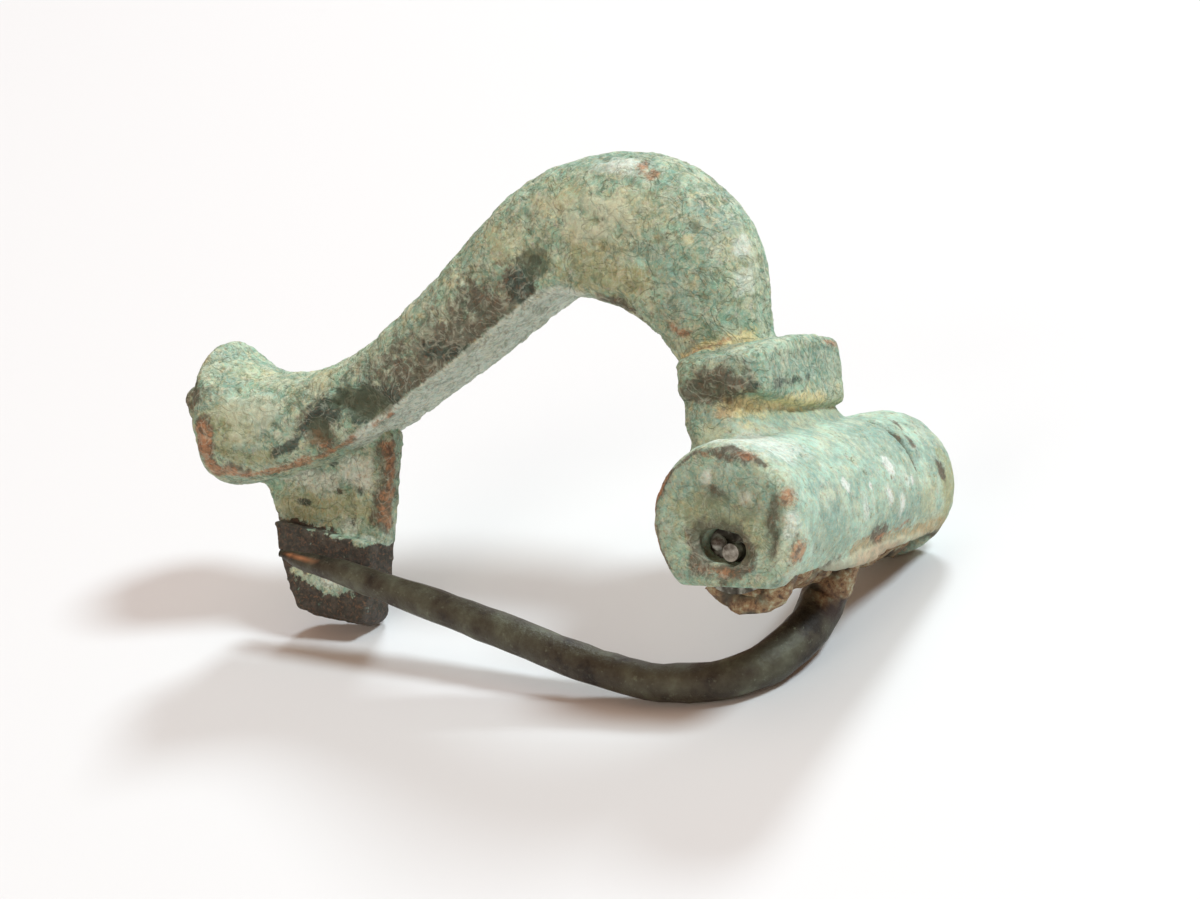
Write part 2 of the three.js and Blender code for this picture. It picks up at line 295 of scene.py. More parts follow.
# Where the crust differs over the casting, in the brooch's own frame: zone, centre, half sizes.
PATCHES = [
    # Foot.
    ("teal", (-29.6, -2.9, -1.4), (1.6, 1.0, 1.0)),
    ("teal", (-31.6, -3.3, -2.4), (0.9, 0.7, 0.6)),
    ("teal", (-29.9, -3.0, -2.7), (1.5, 0.8, 0.45)),
    ("olive", (-31.4, -3.0, -1.6), (1.9, 1.1, 1.0)),
    ("earth", (-30.4, -1.3, 0.9), (2.4, 1.4, 0.5)),
    ("earth", (-27.0, -1.7, 1.4), (1.8, 0.9, 0.6)),
    ("brown", (-26.1, -2.5, -1.1), (1.3, 0.8, 1.1)),
    ("brown", (-33.6, -3.2, -0.4), (0.8, 1.0, 0.8)),
    ("brown", (-35.6, -0.4, -1.6), (0.9, 1.0, 0.9)),
    ("moss", (-25.6, -2.5, 0.0), (1.1, 0.8, 0.8)),
    ("worn", (-26.3, -2.5, -1.5), (0.55, 0.7, 0.45)),
    # Catchplate.
    ("chalk", (-25.0, -0.6, -3.1), (1.0, 0.6, 0.8)),
    ("chalk", (-27.6, -0.6, -3.9), (1.8, 0.6, 0.7)),
    ("chalk", (-25.2, -0.6, -5.9), (0.7, 0.5, 0.55)),
    ("chalk", (-23.9, -0.6, -6.3), (0.5, 0.5, 0.3)),
    ("chalk", (-25.4, -1.6, -8.55), (0.9, 0.5, 0.45)),
    ("teal", (-24.2, -1.6, -8.9), (0.8, 0.5, 0.35)),
    ("olive", (-27.6, -0.6, -5.4), (2.2, 0.6, 0.75)),
    ("olive", (-25.0, -0.6, -5.0), (1.8, 0.6, 0.6)),
    ("moss", (-26.4, -0.6, -2.9), (0.25, 0.5, 0.2)),
    ("moss", (-24.6, -0.6, -4.1), (0.2, 0.5, 0.25)),
    ("moss", (-25.9, -0.6, -4.3), (0.22, 0.5, 0.2)),
    ("moss", (-24.9, -0.6, -5.6), (0.22, 0.5, 0.25)),
    ("moss", (-28.1, -0.6, -5.2), (0.5, 0.6, 0.16)),
    # Leg.
    # The broad brown over the leg's side that faces the camera: partly a dark stain and partly painted
    # shade of that dimly lit side.
    ("brown", (-21.2, -2.35, 2.2), (2.2, 1.0, 1.5)),
    ("brown", (-19.9, -2.4, 3.4), (2.2, 1.0, 1.6)),
    ("brown", (-18.4, -2.4, 4.9), (2.2, 1.0, 1.7)),
    ("brown", (-16.9, -2.45, 6.4), (2.1, 1.0, 1.6)),
    ("moss", (-24.2, -2.45, 0.7), (1.9, 0.9, 1.1)),
    ("moss", (-22.4, -2.4, 1.3), (1.4, 0.7, 0.8)),
    ("moss", (-18.0, -2.2, 4.0), (2.4, 0.9, 0.5)),
    # Knee of the bow.
    ("chalk", (-10.8, -1.7, 14.0), (1.3, 0.9, 0.5)),
    ("chalk", (-4.6, -0.9, 11.3), (0.4, 0.6, 0.7)),
    ("chalk", (-4.2, -1.2, 9.7), (0.35, 0.6, 0.6)),
    ("teal", (-8.3, -2.7, 10.4), (1.3, 0.6, 0.6)),
    ("teal", (-7.1, -2.6, 9.7), (0.9, 0.6, 0.9)),
    ("teal", (-5.2, -1.4, 12.2), (0.9, 1.2, 0.7)),
    ("teal", (-4.6, -1.6, 8.6), (0.9, 1.0, 0.9)),
    ("teal", (-12.5, -1.6, 14.2), (2.6, 1.4, 0.7)),
    ("teal", (-6.6, -2.6, 8.2), (0.9, 0.6, 0.9)),
    ("olive", (-11.4, -2.7, 9.2), (1.7, 0.6, 1.1)),
    ("olive", (-9.6, -2.7, 9.0), (1.5, 0.6, 0.9)),
    ("earth", (-9.8, -2.7, 9.6), (1.2, 0.6, 0.8)),
    ("earth", (-11.2, -2.7, 10.7), (1.6, 0.7, 1.1)),
    ("earth", (-13.2, -2.4, 12.4), (1.6, 0.9, 1.0)),
    ("earth", (-9.4, -2.4, 12.2), (2.0, 0.9, 0.9)),
    ("earth", (-4.6, -0.8, 11.2), (0.7, 1.2, 1.4)),
    ("earth", (-4.3, -1.2, 9.6), (0.7, 1.0, 1.2)),
    ("earth", (-16.4, -2.5, 9.6), (1.3, 0.7, 1.0)),
    ("brown", (-15.6, -2.5, 7.9), (1.2, 0.7, 1.2)),
    ("moss", (-14.6, -2.6, 9.1), (0.35, 0.6, 0.35)),
    ("moss", (-15.2, -2.6, 8.0), (0.8, 0.6, 1.0)),
    ("worn", (-9.8, -1.55, 14.1), (0.28, 0.5, 0.45)),
    ("worn", (-9.2, -1.7, 13.9), (0.3, 0.3, 0.25)),
    # Collar and neck.
    ("teal", (-1.6, -3.2, 6.0), (1.0, 2.0, 0.9)),
    ("teal", (-1.4, 1.4, 6.0), (0.8, 2.6, 0.9)),
    ("teal", (-3.4, -4.9, 3.7), (1.0, 0.7, 0.7)),
    ("teal", (-3.2, -2.6, 5.0), (2.4, 2.6, 1.2)),
    ("teal", (-1.3, 0.0, 6.2), (0.9, 4.0, 0.8)),
    ("teal", (-1.4, -4.7, 6.0), (0.8, 1.0, 0.8)),
    ("teal", (-1.2, -0.8, 6.2), (0.8, 1.6, 0.7)),
    # Earth and ochre over the neck: partly its yellow crust and partly painted light, made pale so that
    # the neck under the collar looks lit.
    ("earth", (-1.9, -3.6, 4.6), (0.8, 1.3, 0.6)),
    ("earth", (-1.5, -1.4, 4.5), (0.8, 1.8, 0.6)),
    ("earth", (-1.4, 2.6, 4.3), (0.9, 2.0, 0.5)),
    ("earth", (-2.7, -5.2, 3.3), (0.7, 0.5, 0.35)),
    ("earth", (-1.3, -1.0, 4.5), (1.2, 3.6, 0.6)),
    ("earth", (-1.5, -2.4, 4.4), (1.0, 2.4, 0.5)),
    ("earth", (-0.9, 2.6, 4.2), (1.0, 2.2, 0.5)),
    ("ochre", (-2.0, -4.35, 4.46), (0.9, 1.3, 0.6)),
    ("ochre", (-1.2, -1.4, 4.6), (0.9, 1.8, 0.5)),
    ("ochre", (-0.8, 0.4, 4.6), (0.7, 1.2, 0.4)),
    ("sand", (-2.5, -4.9, 4.1), (0.5, 0.8, 0.25)),
    # Brown on the front of the collar: partly a dark stain and partly painted shade of that dimly lit
    # face.
    ("brown", (-3.9, -4.9, 5.0), (1.1, 0.6, 0.6)),
    ("brown", (-2.8, -4.9, 5.7), (0.8, 0.6, 0.6)),
    ("brown", (-2.6, -4.9, 5.4), (1.6, 0.7, 0.9)),
    ("moss", (-1.4, -2.0, 5.65), (0.7, 2.6, 0.22)),
    # Head cylinder.
    ("chalk", (2.9, 1.5, 1.9), (0.5, 0.35, 0.6)),
    ("chalk", (3.4, 2.1, 0.3), (0.5, 0.3, 0.45)),
    ("chalk", (3.2, 2.9, 1.3), (0.5, 0.25, 0.35)),
    ("chalk", (3.3, 0.9, 0.9), (0.5, 0.3, 0.5)),
    ("chalk", (3.4, -1.6, 0.6), (0.5, 0.35, 0.6)),
    ("chalk", (0.4, -6.3, 3.4), (1.8, 2.0, 0.7)),
    ("teal", (1.8, 3.0, 2.8), (1.6, 2.4, 1.4)),
    ("teal", (2.9, 2.0, -0.2), (0.9, 3.4, 1.0)),
    ("teal", (1.6, -5.6, 3.0), (1.2, 1.8, 1.0)),
    ("teal", (3.1, -4.6, -0.2), (0.8, 2.2, 1.2)),
    ("olive", (3.2, 7.6, 0.6), (1.0, 1.0, 1.6)),
    ("earth", (3.4, 7.2, 0.1), (0.5, 0.5, 1.0)),
    ("earth", (3.1, 4.9, -1.2), (0.6, 1.6, 0.6)),
    ("earth", (3.0, -0.7, -1.6), (0.6, 1.6, 0.45)),
    ("earth", (3.4, 5.2, 0.4), (0.5, 0.9, 0.9)),
    ("flake", (2.8, 1.55, 2.0), (0.4, 0.42, 0.46)),
    ("flake", (3.05, -3.2, 1.65), (0.35, 0.28, 0.3)),
    ("flake", (3.3, 0.9, 0.9), (0.3, 0.16, 0.22)),
    ("flake", (3.4, 2.2, 0.3), (0.3, 0.18, 0.2)),
    ("flake", (3.2, -0.9, 1.4), (0.3, 0.12, 0.2)),
    ("flake", (3.2, 3.4, 1.3), (0.3, 0.12, 0.25)),
    ("brown", (3.15, 6.9, 1.4), (0.5, 0.35, 0.5)),
    ("brown", (3.3, 0.3, -0.9), (0.5, 0.9, 0.5)),
    ("brown", (2.9, -3.2, -1.9), (0.6, 1.6, 0.5)),
    ("worn", (2.95, 1.6, -1.6), (0.5, 0.9, 0.25)),
    # Near end face.
    ("chalk", (3.2, -8.5, 0.55), (0.3, 0.4, 0.75)),
    ("chalk", (0.9, -8.7, 1.35), (0.28, 0.4, 0.28)),
    ("chalk", (-0.95, -8.7, 1.95), (0.3, 0.4, 0.45)),
    ("teal", (0.4, -8.7, 2.2), (1.4, 0.4, 0.5)),
    ("teal", (-0.6, -8.9, 0.6), (3.2, 0.7, 2.8)),
    ("teal", (-1.9, -8.7, 1.2), (0.9, 0.4, 0.8)),
    ("teal", (1.0, -8.7, 1.9), (0.7, 0.4, 0.6)),
    ("olive", (-0.6, -8.7, 0.0), (2.2, 0.5, 1.3)),
    ("olive", (1.3, -8.7, -0.2), (0.8, 0.5, 0.9)),
    ("brown", (2.35, -8.65, 0.9), (0.22, 0.5, 0.75)),
    ("brown", (2.6, -8.65, -0.5), (0.18, 0.5, 0.7)),
    ("brown", (-0.7, -8.6, 3.05), (1.5, 0.4, 0.2)),
    ("brown", (-0.5, -8.7, 1.5), (0.4, 0.4, 0.3)),
    ("worn", (2.85, -8.45, 1.9), (0.35, 0.4, 0.4)),
    ("worn", (3.45, -8.2, -0.45), (0.3, 0.5, 0.6)),
    ("worn", (-1.3, -8.65, 2.9), (0.4, 0.3, 0.14)),
    ("worn", (0.8, -8.5, 3.2), (0.4, 0.3, 0.12)),
    ("worn", (0.1, -8.65, -2.0), (0.75, 0.4, 0.25)),
]

# Worn and encrusted lines: zone, half width, points along the line.
SEAMS = [
    # Foot.
    ("olive", 0.3, [(-32.4, -3.3, -2.1), (-31.6, -3.2, -2.8), (-30.2, -2.9, -3.2),
                    (-28.8, -2.7, -2.7)]),
    ("brown", 0.42, [(-32.6, -3.6, -1.8), (-32.5, -3.3, -3.2), (-31.9, -2.8, -3.8),
                     (-30.6, -2.5, -3.8)]),
    ("moss", 0.26, [(-28.6, -2.7, -2.6), (-27.5, -2.5, -1.8), (-26.8, -2.4, -0.8), (-25.9, -2.4, 0.5)]),
    ("worn", 0.36, [(-32.6, -3.6, -2.0), (-32.5, -3.3, -3.3), (-32.0, -2.8, -4.0),
                    (-30.8, -2.5, -4.0)]),
    ("worn", 0.24, [(-30.8, -2.5, -4.0), (-29.4, -2.2, -3.8), (-28.0, -2.1, -3.2),
                    (-26.9, -2.1, -2.6)]),
    ("worn", 0.16, [(-26.6, -2.05, -2.5), (-25.4, -2.05, -1.9), (-24.4, -2.05, -1.0)]),
    # Catchplate.
    ("brown", 0.5, [(-23.3, -0.5, -1.6), (-23.2, -0.4, -3.4), (-23.2, -0.35, -5.6)]),
    ("worn", 0.27, [(-23.3, -0.5, -1.5), (-23.2, -0.35, -2.9), (-23.2, -0.3, -4.3),
                    (-23.2, -0.25, -5.6)]),
    # Leg.
    ("brown", 0.22, [(-15.6, -2.2, 6.6), (-17.4, -2.2, 4.7), (-19.6, -2.1, 2.6), (-21.6, -2.0, 0.9)]),
    ("worn", 0.14, [(-23.2, -1.95, -0.1), (-22.3, -1.9, 0.6)]),
    # Knee of the bow.
    ("brown", 0.28, [(-10.9, -2.3, 8.1), (-9.4, -2.3, 7.6), (-8.2, -2.2, 6.7), (-7.2, -2.1, 5.6)]),
    ("worn", 0.17, [(-6.2, -2.2, 5.7), (-5.4, -2.3, 6.2), (-4.1, -2.1, 7.1)]),
    ("worn", 0.12, [(-7.0, -2.45, 7.3), (-6.5, -2.45, 7.0), (-6.0, -2.45, 7.1)]),
    # Collar and neck.
    ("ochre", 0.3, [(-6.1, -2.2, 5.8), (-4.9, -2.3, 6.6), (-3.8, -1.9, 7.2), (-2.9, -0.8, 7.5)]),
    ("worn", 0.12, [(-1.5, 2.4, 7.0), (-1.3, 3.5, 6.9), (-1.2, 4.3, 6.4)]),
    # Head cylinder.
    ("earth", 0.25, [(-2.9, -5.1, 2.9), (-1.9, -4.9, 3.3), (-0.9, -4.0, 3.6)]),
    ("sand", 0.42, [(3.2, -2.2, -1.3), (3.1, 1.0, -1.2), (3.1, 4.0, -1.3), (2.9, 7.6, -1.5)]),
    ("sand", 0.5, [(3.0, -1.4, -1.8), (3.0, 2.4, -1.8)]),
    ("brown", 0.14, [(0.5, 4.3, 3.4), (1.9, 4.5, 2.9), (3.0, 4.2, 1.7)]),
    ("brown", 0.3, [(2.9, -3.6, -1.9), (3.0, 0.5, -1.9), (2.9, 7.6, -1.9)]),
    ("brown", 0.12, [(0.9, 6.0, 3.3), (2.2, 5.2, 2.6), (3.0, 4.9, 1.4)]),
    ("worn", 0.22, [(3.05, -1.6, -1.7), (3.05, 0.4, -1.5), (3.05, 2.6, -1.6)]),
    ("worn", 0.14, [(3.2, 0.0, -1.0), (3.25, 2.4, -0.8), (3.3, 3.2, -0.5)]),
    # Near end face.
    ("brown", 0.42, [(-1.3, -8.6, -0.7), (-0.8, -8.6, -0.2), (0.8, -8.6, -0.2), (1.35, -8.6, -0.8),
                     (1.1, -8.6, -1.6), (0.3, -8.6, -2.0), (-0.9, -8.6, -1.8), (-1.3, -8.6, -0.7)]),
    ("brown", 0.12, [(1.7, -8.5, 2.9), (0.0, -8.5, 3.35), (-1.7, -8.5, 2.9), (-2.9, -8.5, 1.7),
                     (-3.35, -8.5, 0.0), (-2.9, -8.5, -1.7), (-2.4, -8.5, -2.3)]),
    ("worn", 0.18, [(-3.2, -8.4, 1.5), (-3.55, -8.4, 0.4), (-3.5, -8.4, -0.9), (-3.0, -8.5, -2.2)]),
    ("worn", 0.1, [(-2.9, -8.45, 1.9), (-3.4, -8.45, 0.2), (-3.0, -8.45, -1.6)]),
]

# Hollows and swellings: depth below the surface (negative stands proud), centre, half sizes.
HOLLOWS = [
    # Foot.
    (0.25, (-26.2, -2.6, -1.1), (0.9, 0.8, 0.8)),
    (-0.12, (-30.2, -3.0, -1.0), (2.4, 1.0, 1.6)),
    # Catchplate.
    (-0.06, (-29.4, -0.3, -6.2), (0.9, 1.2, 1.2)),
    # Leg.
    (0.45, (-23.9, -2.5, 0.8), (1.9, 0.9, 0.9)),
    # Knee of the bow.
    (0.22, (-14.6, -2.7, 9.0), (1.0, 0.7, 0.8)),
    (0.07, (-8.0, -2.8, 10.4), (1.8, 0.7, 0.5)),
    (-0.1, (-11.6, -2.4, 11.6), (2.6, 1.2, 1.2)),
    # Collar and neck.
    (0.12, (-3.4, -5.0, 5.1), (1.2, 0.6, 0.5)),
    # Head cylinder.
    (-0.3, (2.9, -1.6, -1.95), (0.6, 3.0, 0.45)),
    (0.2, (2.0, 4.4, 2.8), (2.4, 0.2, 2.0)),
    (-0.16, (3.1, 1.5, -1.6), (0.5, 5.0, 0.4)),
    # Near end face.
    (0.1, (2.4, -8.7, 0.6), (0.45, 0.6, 1.7)),
    (0.12, (-0.3, -8.7, 0.3), (2.0, 0.5, 1.6)),
    (0.1, (0.1, -8.7, -1.95), (0.8, 0.5, 0.2)),
    (0.16, (0.0, -8.3, -1.0), (1.35, 0.9, 0.95)),
]

# The zones: pale, green and earthy crust, dark stains, the near-black lower catch and rubbed copper.
# Some pale and dark patches are partly painted light and painted shade, as said where they are set.
ZONES = ("chalk", "teal", "olive", "earth", "ochre", "flake", "sand", "brown", "moss", "dark", "worn")

# Patches, seams and hollows fade out between these reaches, where 1 is their edge, and their
# edges are this ragged.
PATCH_FADE = (1.6, 0.3)
PATCH_RAGGED = 0.55
SEAM_FADE = (1.7, 0.4)
SEAM_RAGGED = 0.8
HOLLOW_FADE = (1.2, 0.6)
HOLLOW_RAGGED = 0.3

# The catch is painted dark brown, nearly black, between these places, below a ragged line that slopes a
# little, apart from one pale patch on its bottom edge.
CATCH_ENDS = (-31.5, -22.6)
BREAK_LINE = -6.1
BREAK_BAND = 0.4
BREAK_SLOPE = 0.06
BREAK_MIDDLE = -27
PALE_CENTRE = (-25.6, -1.6, -8.75)
PALE_HALF_SIZES = (1.7, 0.7, 0.55)

# The flat underside of the leg faces this way.
LEG_UNDERSIDE = np.array((0.507, 0.0, -0.862))

# The smooth skin of the head ends here, where the near end face begins, which is mostly sage.
NEAR_END = -8.3
NEAR_END_SAGE = 0.7

# Distance from the axis of the cylinder at which the bow begins and the head ends.
HEAD_EDGE = (4.7, 3.8)

# Streaks run round the head, so their noise is stretched across its length.
ROUND_THE_HEAD = np.array((0.55, 1.0, 0.55))

# How much smoother than the bow these are: the head, the catchplate and the plate's edge.
HEAD_SMOOTHER = 0.66
PLATE_SMOOTHER = 0.5
PLATE_EDGE_SMOOTHER = 0.6

# Heights of the crust's features, and of its growth over the whole surface, in millimetres.
WOBBLE_MM = 0.08
LUMPS_MM = 0.085
WRINKLES_MM = 0.045
PITS_MM = 0.12
SMALL_PITS_MM = 0.06
STREAKS_MM = 0.035
GROWTH_MM = 0.07


def head_share(points):
    """1 on the head cylinder, 0 on the bow and the foot."""
    return smooth_step(*HEAD_EDGE, np.hypot(points[:, 0], points[:, 2]))


def zone_weights(points, normals, ragged):
    """The weight of every zone at every point, with ragged edges."""
    weights = {zone: np.zeros(len(points)) for zone in ZONES}
    for zone, centre, half_sizes in PATCHES:
        reach = patch_field(points, centre, half_sizes) + PATCH_RAGGED * ragged
        weights[zone] = np.maximum(weights[zone], smooth_step(*PATCH_FADE, reach))
    for zone, half_width, line in SEAMS:
        reach = seam_field(points, line) / half_width + SEAM_RAGGED * ragged
        weights[zone] = np.maximum(weights[zone], smooth_step(*SEAM_FADE, reach))

    x, _, z = points.T
    on_catch = (x > CATCH_ENDS[0]) & (x < CATCH_ENDS[1])
    level = z + 0.35 * ragged + BREAK_SLOPE * (x - BREAK_MIDDLE)
    below = smooth_step(BREAK_LINE, BREAK_LINE - BREAK_BAND, level)
    spared = smooth_step(1.4, 0.6, patch_field(points, PALE_CENTRE, PALE_HALF_SIZES) + 0.7 * ragged)
    weights["dark"] = np.where(on_catch, below * (1 - spared), 0.0)

    # The underside of the leg is painted pale chalk right up to its edge, without brown, moss or earth:
    # partly its pale crust and partly painted light, the glow that the floor throws up onto it.
    on_leg = smooth_step(-25.5, -24.0, x) * smooth_step(-11.0, -12.5, x)
    under = smooth_step(0.42, 0.7, normals @ LEG_UNDERSIDE) * on_leg
    for zone in ("brown", "moss", "earth"):
        weights[zone] *= 1 - under
    weights["chalk"] = np.maximum(weights["chalk"], under)
    return weights


def casting_relief(points, ragged):
    """Height of the crust over the cast surface, in millimetres, mostly below it."""
    x, _, z = points.T
    head = head_share(points)
    plate = smooth_step(-3.6, -5.0, z) * smooth_step(-20.0, -22.0, x)
    plate_edge = smooth_step(-24.2, -23.4, x) * smooth_step(-1.0, -2.0, z)
    rough = (1 - HEAD_SMOOTHER * head) * (1 - PLATE_SMOOTHER * plate)
    rough *= 1 - PLATE_EDGE_SMOOTHER * plate_edge

    wobble = noise_field(points, size=4.5, offset=9.2)
    lumps = noise_field(points, size=1.25, offset=3.1, octaves=2)
    swirl = [noise_field(points, size=0.8, offset=offset) for offset in (1.1, 5.7, 8.3)]
    swirled = points + 0.38 * np.stack(swirl, axis=1)
    wrinkles = 1 - 2.6 * np.abs(noise_field(swirled, size=0.5, offset=7.7, octaves=2))
    streaks = noise_field(points * ROUND_THE_HEAD, size=0.42, offset=2.2, octaves=2)
    pits = smooth_step(0.38, 0.12, pit_field(points, size=1.05, offset=1.3))
    small_pits = smooth_step(0.3, 0.1, pit_field(points, size=0.55, offset=5.1))

    height = WOBBLE_MM * wobble + rough * (LUMPS_MM * lumps + WRINKLES_MM * wrinkles)
    height += STREAKS_MM * head * streaks
    height += GROWTH_MM - rough * (PITS_MM * pits + SMALL_PITS_MM * small_pits)
    for depth, centre, half_sizes in HOLLOWS:
        reach = patch_field(points, centre, half_sizes) + HOLLOW_RAGGED * ragged
        height -= depth * smooth_step(*HOLLOW_FADE, reach)
    return height


def patina_layers(points, height):
    """The height, the share of the bow's sage crust, and the streaks of the smooth head."""
    head = head_share(points)
    end_face = points[:, 1] < NEAR_END
    streaks = noise_field(points * ROUND_THE_HEAD, size=0.5, offset=2.2, octaves=2)
    return {
        "height": height,
        "bow": np.maximum(1 - head, NEAR_END_SAGE * end_face),
        "streak": streaks * head * (1 - end_face),
    }


# --- casting: material ------------------------------------------------------------------------

# Speckles of the patina, each laid over the last: colour, strength, size in mm, octaves, the
# noise where they start and are full, their distortion, and whether only the bow has them.
GROUND_SPECKLES = (
    ("#86A99D", 0.85, 1.9, 5, 0.43, 0.6, 0.7, False),
    ("#CBD9BE", 0.8, 1.3, 6, 0.47, 0.64, 0.7, False),
    ("#CFCBA0", 0.85, 0.8, 6, 0.52, 0.66, 1.0, True),
    ("#849A80", 0.9, 0.62, 6, 0.49, 0.62, 0.8, True),
    ("#5F7463", 0.85, 0.34, 6, 0.53, 0.66, 0.8, True),
    ("#DFE5CF", 0.75, 0.3, 5, 0.57, 0.68, 0.8, False),
)
TOP_SPECKLES = (
    ("#6C9C86", 0.58, 1.15, 6, 0.5, 0.62, 1.0, True),
    ("#E3E6C8", 0.5, 0.6, 6, 0.56, 0.66, 1.0, True),
)

# Colours of the zones, under and over the top speckles: zone, colour, colour of its flecks,
# strength, grain of its broken edge in mm, and how soft that edge is.
UNDER_TONES = (
    ("teal", "#739B8F", "#8FB2A5", 0.7, 0.4, 0.5),
    ("earth", "#DAD7A6", "#BCC196", 0.47, 0.26, 0.7),
)
OVER_TONES = (
    ("chalk", "#E8F1E6", "#C6DCCE", 0.86, 0.35, 0.5),
    ("olive", "#989E70", "#B2B68C", 0.7, 0.4, 0.5),
    # Ochre is partly yellow crust and partly painted light, which makes the neck under the collar look
    # lit.
    ("ochre", "#F3E6AE", "#D9C98F", 0.92, 0.2, 0.6),
    ("flake", "#EDF3EA", "#D8E6DA", 0.92, 0.3, 0.25),
    ("sand", "#C6A87A", "#9A8A66", 0.7, 0.22, 0.5),
    ("brown", "#544D40", "#6C6A59", 0.92, 0.3, 0.5),
    ("moss", "#303D35", "#54655A", 0.92, 0.45, 0.35),
    ("dark", "#2B2420", "#4A4038", 0.96, 0.4, 0.2),
    ("worn", "#BE8A63", "#6B4B38", 0.85, 0.16, 0.6),
)

# Colours that follow a layer's value: where they start, where they are full, colour, strength.
STREAK_MARKS = ((0.16, 0.5, "#E2EFE0", 0.27), (-0.16, -0.5, "#7E9F90", 0.27))
HEIGHT_MARKS = ((0.02, -0.17, "#5A6650", 0.6), (0.1, 0.24, "#DDE2C6", 0.45))


def patinated_bronze(mint):
    """Cast leaded bronze under a thick copper carbonate crust: matt, chalky and mottled, with
    earth in its hollows and bare copper where an edge is rubbed."""
    material, tree = new_material("patinated_bronze")
    place = add_node(tree, "ShaderNodeTexCoord").outputs["Object"]
    sage, streak, height, bare = (
        add_node(tree, "ShaderNodeAttribute", {"attribute_name": name}).outputs["Fac"]
        for name in ("bow", "streak", "height", "dark")
    )
    # Veins are faint on the smooth head, and stop on the near-black lower catch.
    crusted = add_node(
        tree, "ShaderNodeMapRange", inputs={"Value": sage, "To Min": 0.25, "To Max": 1.0}
    ).outputs["Result"]
    veined = add_node(
        tree,
        "ShaderNodeMath",
        {"operation": "SUBTRACT", "use_clamp": True},
        {0: crusted, 1: bare},
    ).outputs["Value"]

    def speckle(size_mm, octaves, start, full, distortion=0.0):
        """Scattered spots of about this size."""
        cloud = add_node(
            tree,
            "ShaderNodeTexNoise",
            inputs={
                "Vector": place,
                "Scale": 1 / (size_mm * MM),
                "Detail": octaves,
                "Roughness": 0.6,
                "Distortion": distortion,
            },
        )
        return add_node(
            tree,
            "ShaderNodeMapRange",
            {"interpolation_type": "SMOOTHSTEP"},
            {"Value": cloud.outputs["Fac"], "From Min": start, "From Max": full},
        ).outputs["Result"]

    def vein(size_mm, width, shift_mm):
        """Thin winding lines where a noise crosses its middle value."""
        shift = (shift_mm * MM, -shift_mm * MM, 0.3 * MM)
        moved = add_node(tree, "ShaderNodeVectorMath", {"operation": "ADD"}, {0: place, 1: shift})
        cloud = add_node(
            tree,
            "ShaderNodeTexNoise",
            inputs={
                "Vector": moved.outputs["Vector"],
                "Scale": 1 / (size_mm * MM),
                "Detail": 3,
                "Roughness": 0.5,
                "Distortion": 1.2,
            },
        )
        line = add_node(
            tree,
            "ShaderNodeValToRGB",
            {"stops": [(0.5 - width, 0.0), (0.5, 1.0), (0.5 + width, 0.0)]},
            {"Fac": cloud.outputs["Fac"]},
        )
        return add_node(
            tree,
            "ShaderNodeMath",
            {"operation": "MULTIPLY"},
            {0: line.outputs["Color"], 1: veined},
        ).outputs["Value"]

    def flecked(zone, grain_mm, soft):
        """A zone that breaks into flecks as its weight falls: more grains show where it is heavier."""
        weight = add_node(tree, "ShaderNodeAttribute", {"attribute_name": zone}).outputs["Fac"]
        cloud = add_node(
            tree,
            "ShaderNodeTexNoise",
            inputs={
                "Vector": place,
                "Scale": 1 / (grain_mm * MM),
                "Detail": 5,
                "Roughness": 0.65,
                "Distortion": 0.4,
            },
        )
        grain = add_node(
            tree,
            "ShaderNodeMapRange",
            inputs={"Value": cloud.outputs["Fac"], "From Min": 0.3, "From Max": 0.7},
        )
        total = add_node(
            tree, "ShaderNodeMath", {"operation": "ADD"}, {0: grain.outputs["Result"], 1: weight}
        )
        return add_node(
            tree,
            "ShaderNodeMapRange",
            {"interpolation_type": "SMOOTHSTEP"},
            {"Value": total.outputs["Value"], "From Min": 1.0 - soft, "From Max": 1.0 + soft},
        ).outputs["Result"]

    def speckled(base, speckles):
        """Sprinkles a table's speckles over a colour."""
        for code, strength, *spots, bow_only in speckles:
            shares = (strength, sage) if bow_only else (strength,)
            base = coat(tree, base, srgb(code), *shares, speckle(*spots))
        return base

    def toned(base, tones):
        """Lays a table's zones over a colour."""
        for zone, code, fleck, strength, grain_mm, soft in tones:
            shade = coat(tree, srgb(code), srgb(fleck), speckle(0.35, 5, 0.42, 0.66))
            base = coat(tree, base, shade, strength, flecked(zone, grain_mm, soft))
        return base

    def marked(base, layer, marks):
        """Lays a table's marks over a colour where a layer's value calls for them."""
        for start, full, code, strength in marks:
            share = add_node(
                tree,
                "ShaderNodeMapRange",
                {"interpolation_type": "SMOOTHSTEP"},
                {"Value": layer, "From Min": start, "From Max": full},
            )
            base = coat(tree, base, srgb(code), strength, share.outputs["Result"])
        return base

    crease = vein(1.2, 0.04, 3.0)
    stroke = vein(0.95, 0.035, 11.0)
    colour = coat(tree, (*mint, 1.0), srgb("#99C7AE"), sage)
    colour = speckled(colour, GROUND_SPECKLES)
    colour = marked(colour, streak, STREAK_MARKS)
    colour = toned(colour, UNDER_TONES)
    colour = speckled(colour, TOP_SPECKLES)
    colour = toned(colour, OVER_TONES)
    colour = coat(tree, colour, srgb("#4C614E"), 0.42, crease)
    colour = coat(tree, colour, srgb("#E2E8D2"), 0.26, stroke)
    colour = marked(colour, height, HEIGHT_MARKS)

